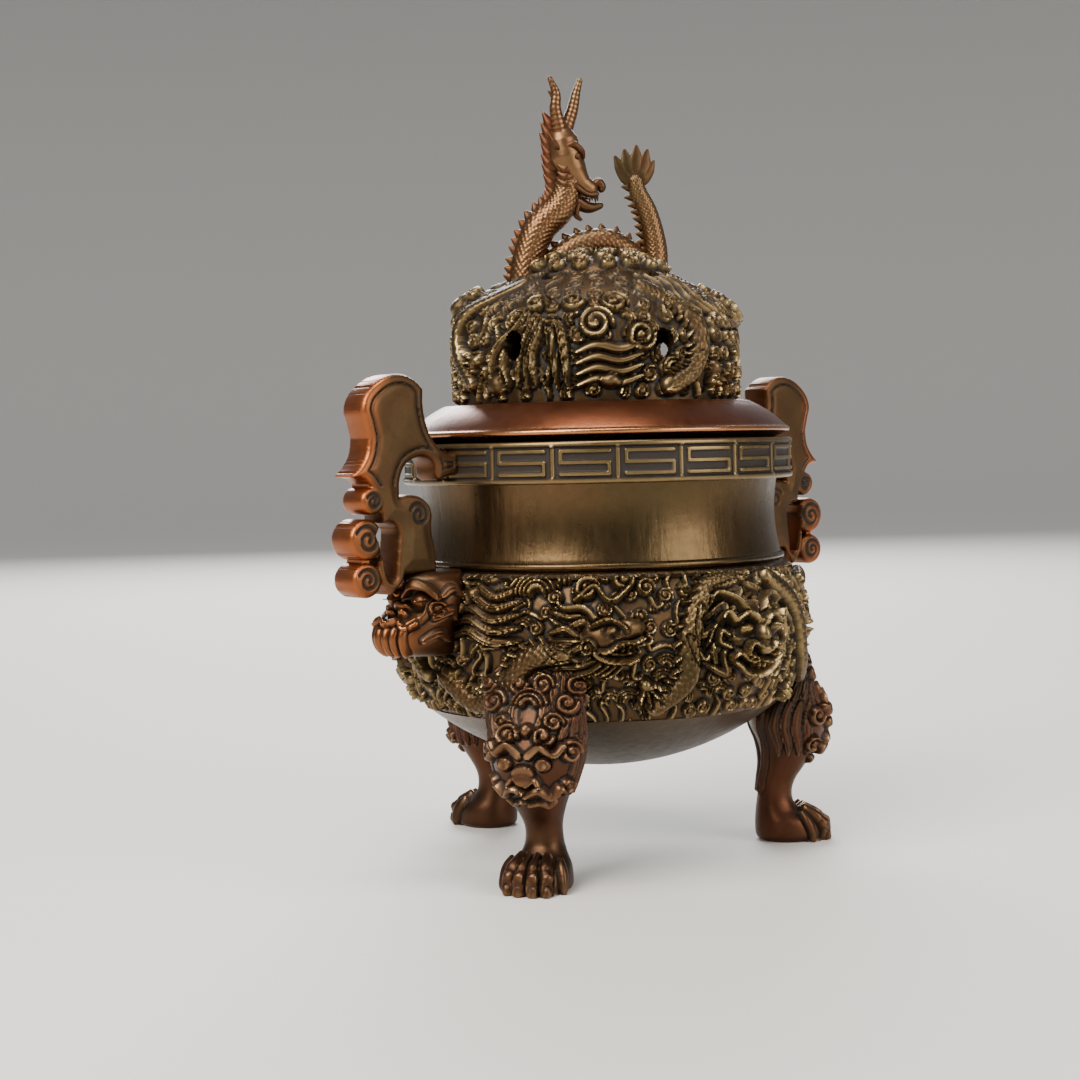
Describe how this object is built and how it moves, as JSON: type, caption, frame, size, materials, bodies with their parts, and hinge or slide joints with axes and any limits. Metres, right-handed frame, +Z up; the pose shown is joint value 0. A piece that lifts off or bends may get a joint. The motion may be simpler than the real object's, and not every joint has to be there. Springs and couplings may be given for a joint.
{
  "type": "incense burner",
  "caption": "Small cast bronze tripod incense burner: round relief bowl on lion-paw legs, upright scroll handles on beast masks, and a pierced domed lid with a dragon knob.",
  "frame": {"origin": "on the table under the bowl's axis", "axes": "+Z up, the front of the bowl faces -Y, the handles stand along X"},
  "size_m": [0.0934, 0.0687, 0.1158],
  "materials": {
    "bronze": "dark brown patina, worn bright on the high points",
    "copper_rim": "reddish copper brown, satin",
    "rivet_bronze": "hammered, dull"
  },
  "bodies": {
    "vessel": {"bowl": "bronze", "leg_back": "bronze", "leg_front_left": "bronze", "leg_front_right": "bronze", "leg_rivets": "rivet_bronze", "mask_left": "bronze", "mask_right": "bronze", "mask_rivets": "rivet_bronze", "handle_left": "bronze", "handle_right": "bronze", "rim_pins": "rivet_bronze"},
    "lid": {"lid_brim": "copper_rim", "lid_dome": "bronze", "dragon": "bronze", "dragon_rivet": "rivet_bronze"}
  },
  "joints": [
    {"name": "lid_lift", "type": "slide", "parent": "vessel", "child": "lid", "axis": [0, 0, 1], "range_m": [0, 0.06]}
  ]
}
